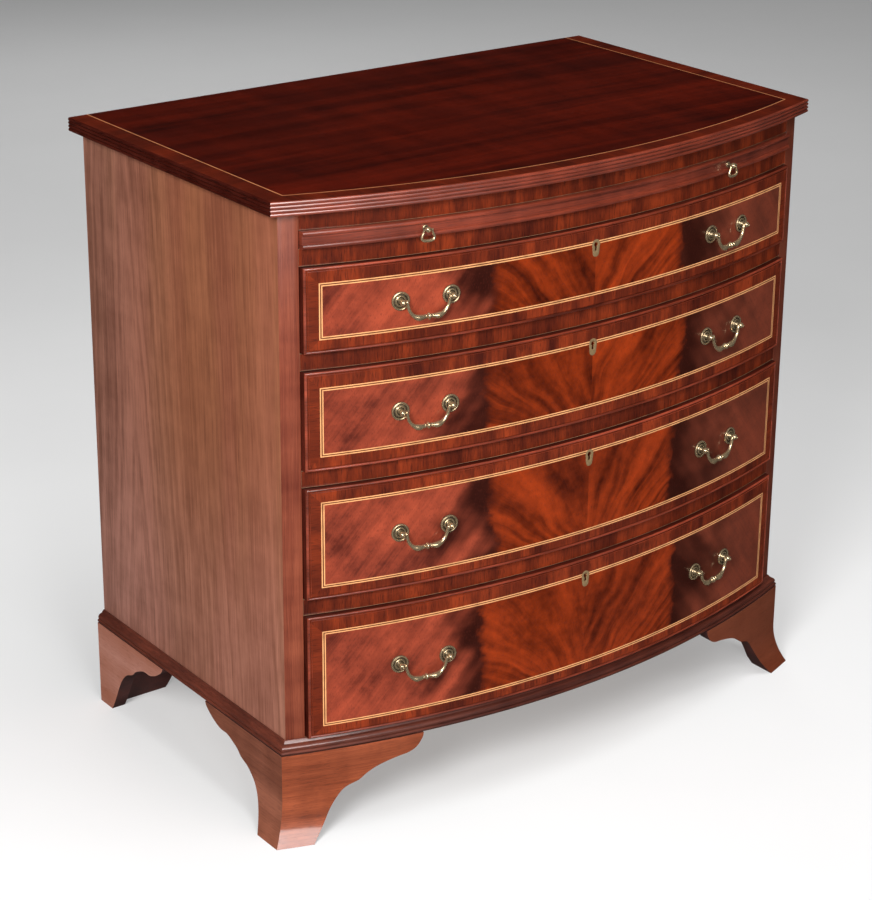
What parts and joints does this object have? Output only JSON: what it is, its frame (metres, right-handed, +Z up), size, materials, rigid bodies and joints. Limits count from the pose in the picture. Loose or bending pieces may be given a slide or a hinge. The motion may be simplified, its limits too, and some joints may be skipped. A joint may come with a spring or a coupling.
{
  "type": "bow front chest of drawers",
  "caption": "Bow-fronted mahogany chest with graduated long drawers, swan-neck handles, a brushing slide and splayed bracket feet.",
  "frame": {"origin": "on the floor, below the middle of the chest's box", "axes": "+X to the right-hand side of the chest, -Y out of its bowed front, +Z up"},
  "size_m": [0.8866, 0.5562, 0.8399],
  "materials": {
    "top_mahogany": "french polished, dark red-brown",
    "side_mahogany": "polished, straight vertical grain",
    "rail_mahogany": "polished cross-grained banding",
    "moulding_mahogany": "polished",
    "flame_mahogany": "polished figured veneer inlaid with boxwood lines",
    "slide_mahogany": "polished",
    "foot_mahogany": "polished",
    "drawer_oak": "bare planed wood",
    "carcase_wood": "bare planed wood",
    "back_wood": "stained planed wood",
    "aged_brass": "antique finish, worn on the high parts",
    "lock_brass": "dull brass"
  },
  "bodies": {
    "case": {"top": "top_mahogany", "side_left": "side_mahogany", "side_right": "side_mahogany", "back_panel": "back_wood", "divider_1": "rail_mahogany", "divider_2": "rail_mahogany", "divider_3": "rail_mahogany", "slide_rail": "rail_mahogany", "top_rail": "rail_mahogany", "bottom_board": "carcase_wood", "base_moulding": "moulding_mahogany", "foot_front_left": "foot_mahogany", "foot_front_right": "foot_mahogany", "foot_back_left": "foot_mahogany", "foot_back_right": "foot_mahogany"},
    "slide": {"slide_board": "slide_mahogany", "slide_pull_left_post": "aged_brass", "slide_pull_right_post": "aged_brass"},
    "pull_ring_left": {"slide_pull_left_ring": "aged_brass"},
    "pull_ring_right": {"slide_pull_right_ring": "aged_brass"},
    "drawer_1": {"drawer_1_front": "flame_mahogany", "drawer_1_box": "drawer_oak", "drawer_1_bottom": "drawer_oak", "drawer_1_lock": "lock_brass", "drawer_1_left_handle_post_left": "aged_brass", "drawer_1_left_handle_post_right": "aged_brass", "drawer_1_right_handle_post_left": "aged_brass", "drawer_1_right_handle_post_right": "aged_brass"},
    "drawer_1_left_bail": {"drawer_1_left_handle_bail": "aged_brass"},
    "drawer_1_right_bail": {"drawer_1_right_handle_bail": "aged_brass"},
    "drawer_2": {"drawer_2_front": "flame_mahogany", "drawer_2_box": "drawer_oak", "drawer_2_bottom": "drawer_oak", "drawer_2_lock": "lock_brass", "drawer_2_left_handle_post_left": "aged_brass", "drawer_2_left_handle_post_right": "aged_brass", "drawer_2_right_handle_post_left": "aged_brass", "drawer_2_right_handle_post_right": "aged_brass"},
    "drawer_2_left_bail": {"drawer_2_left_handle_bail": "aged_brass"},
    "drawer_2_right_bail": {"drawer_2_right_handle_bail": "aged_brass"},
    "drawer_3": {"drawer_3_front": "flame_mahogany", "drawer_3_box": "drawer_oak", "drawer_3_bottom": "drawer_oak", "drawer_3_lock": "lock_brass", "drawer_3_left_handle_post_left": "aged_brass", "drawer_3_left_handle_post_right": "aged_brass", "drawer_3_right_handle_post_left": "aged_brass", "drawer_3_right_handle_post_right": "aged_brass"},
    "drawer_3_left_bail": {"drawer_3_left_handle_bail": "aged_brass"},
    "drawer_3_right_bail": {"drawer_3_right_handle_bail": "aged_brass"},
    "drawer_4": {"drawer_4_front": "flame_mahogany", "drawer_4_box": "drawer_oak", "drawer_4_bottom": "drawer_oak", "drawer_4_lock": "lock_brass", "drawer_4_left_handle_post_left": "aged_brass", "drawer_4_left_handle_post_right": "aged_brass", "drawer_4_right_handle_post_left": "aged_brass", "drawer_4_right_handle_post_right": "aged_brass"},
    "drawer_4_left_bail": {"drawer_4_left_handle_bail": "aged_brass"},
    "drawer_4_right_bail": {"drawer_4_right_handle_bail": "aged_brass"}
  },
  "joints": [
    {"name": "slide_travel", "type": "slide", "parent": "case", "child": "slide", "axis": [0, -1, 0], "range_m": [0, 0.25]},
    {"name": "pull_ring_left_swing", "type": "hinge", "parent": "slide", "child": "pull_ring_left", "pos_m": [-0.24424, -0.25418, 0.78895], "axis": [-0.9798, 0.2, 0], "range_deg": [-20, 165]},
    {"name": "pull_ring_right_swing", "type": "hinge", "parent": "slide", "child": "pull_ring_right", "pos_m": [0.24424, -0.25418, 0.78895], "axis": [-0.9798, -0.2, 0], "range_deg": [-20, 165]},
    {"name": "drawer_1_travel", "type": "slide", "parent": "case", "child": "drawer_1", "axis": [0, -1, 0], "range_m": [0, 0.33]},
    {"name": "drawer_1_left_bail_swing", "type": "hinge", "parent": "drawer_1", "child": "drawer_1_left_bail", "pos_m": [-0.2442, -0.25658, 0.7032], "axis": [-0.9799, 0.1996, 0], "range_deg": [-10, 165]},
    {"name": "drawer_1_right_bail_swing", "type": "hinge", "parent": "drawer_1", "child": "drawer_1_right_bail", "pos_m": [0.2442, -0.25658, 0.7032], "axis": [-0.9799, -0.1996, 0], "range_deg": [-10, 165]},
    {"name": "drawer_2_travel", "type": "slide", "parent": "case", "child": "drawer_2", "axis": [0, -1, 0], "range_m": [0, 0.33]},
    {"name": "drawer_2_left_bail_swing", "type": "hinge", "parent": "drawer_2", "child": "drawer_2_left_bail", "pos_m": [-0.2442, -0.25658, 0.5635], "axis": [-0.9799, 0.1996, 0], "range_deg": [-10, 165]},
    {"name": "drawer_2_right_bail_swing", "type": "hinge", "parent": "drawer_2", "child": "drawer_2_right_bail", "pos_m": [0.2442, -0.25658, 0.5635], "axis": [-0.9799, -0.1996, 0], "range_deg": [-10, 165]},
    {"name": "drawer_3_travel", "type": "slide", "parent": "case", "child": "drawer_3", "axis": [0, -1, 0], "range_m": [0, 0.33]},
    {"name": "drawer_3_left_bail_swing", "type": "hinge", "parent": "drawer_3", "child": "drawer_3_left_bail", "pos_m": [-0.2442, -0.25658, 0.4036], "axis": [-0.9799, 0.1996, 0], "range_deg": [-10, 165]},
    {"name": "drawer_3_right_bail_swing", "type": "hinge", "parent": "drawer_3", "child": "drawer_3_right_bail", "pos_m": [0.2442, -0.25658, 0.4036], "axis": [-0.9799, -0.1996, 0], "range_deg": [-10, 165]},
    {"name": "drawer_4_travel", "type": "slide", "parent": "case", "child": "drawer_4", "axis": [0, -1, 0], "range_m": [0, 0.33]},
    {"name": "drawer_4_left_bail_swing", "type": "hinge", "parent": "drawer_4", "child": "drawer_4_left_bail", "pos_m": [-0.2442, -0.25658, 0.2235], "axis": [-0.9799, 0.1996, 0], "range_deg": [-10, 165]},
    {"name": "drawer_4_right_bail_swing", "type": "hinge", "parent": "drawer_4", "child": "drawer_4_right_bail", "pos_m": [0.2442, -0.25658, 0.2235], "axis": [-0.9799, -0.1996, 0], "range_deg": [-10, 165]}
  ]
}
